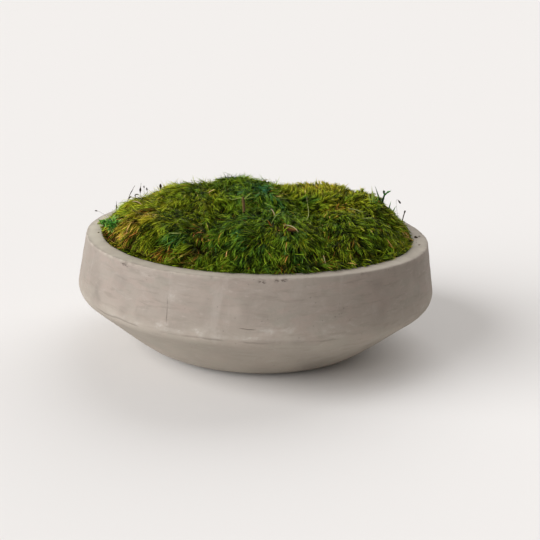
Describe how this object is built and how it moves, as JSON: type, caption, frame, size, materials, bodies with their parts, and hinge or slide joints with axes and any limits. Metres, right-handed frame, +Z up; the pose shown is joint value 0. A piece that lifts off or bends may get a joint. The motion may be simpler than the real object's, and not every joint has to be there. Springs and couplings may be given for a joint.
{
  "type": "planted moss bowl",
  "caption": "Low wide concrete bowl with a leaning band, rounded shoulder and small foot, filled with cushions of long combed moss.",
  "frame": {"origin": "middle of the foot's underside", "axes": "+Z up along the bowl's axis of turning; -Y towards the front of the arrangement"},
  "size_m": [0.3556, 0.3556, 0.161],
  "materials": {
    "concrete": "matte",
    "soil": "matte",
    "moss_green": "matte",
    "moss_deep": "matte",
    "moss_yellow": "matte",
    "bark": "matte",
    "dead_leaf": "matte",
    "sprig_green": "satin",
    "sprig_dark": "matte"
  },
  "bodies": {
    "root": {"bowl": "concrete", "soil_bed": "soil", "moss_front_left": "moss_green", "moss_left": "moss_green", "moss_top": "moss_deep", "moss_front": "moss_green", "moss_right": "moss_deep", "moss_far_right": "moss_green", "moss_back_right": "moss_yellow", "moss_back_left": "moss_green", "moss_back": "moss_green", "twig": "bark", "dry_leaf": "dead_leaf", "green_sprig": "sprig_green", "dark_sprig": "sprig_dark"}
  },
  "joints": []
}
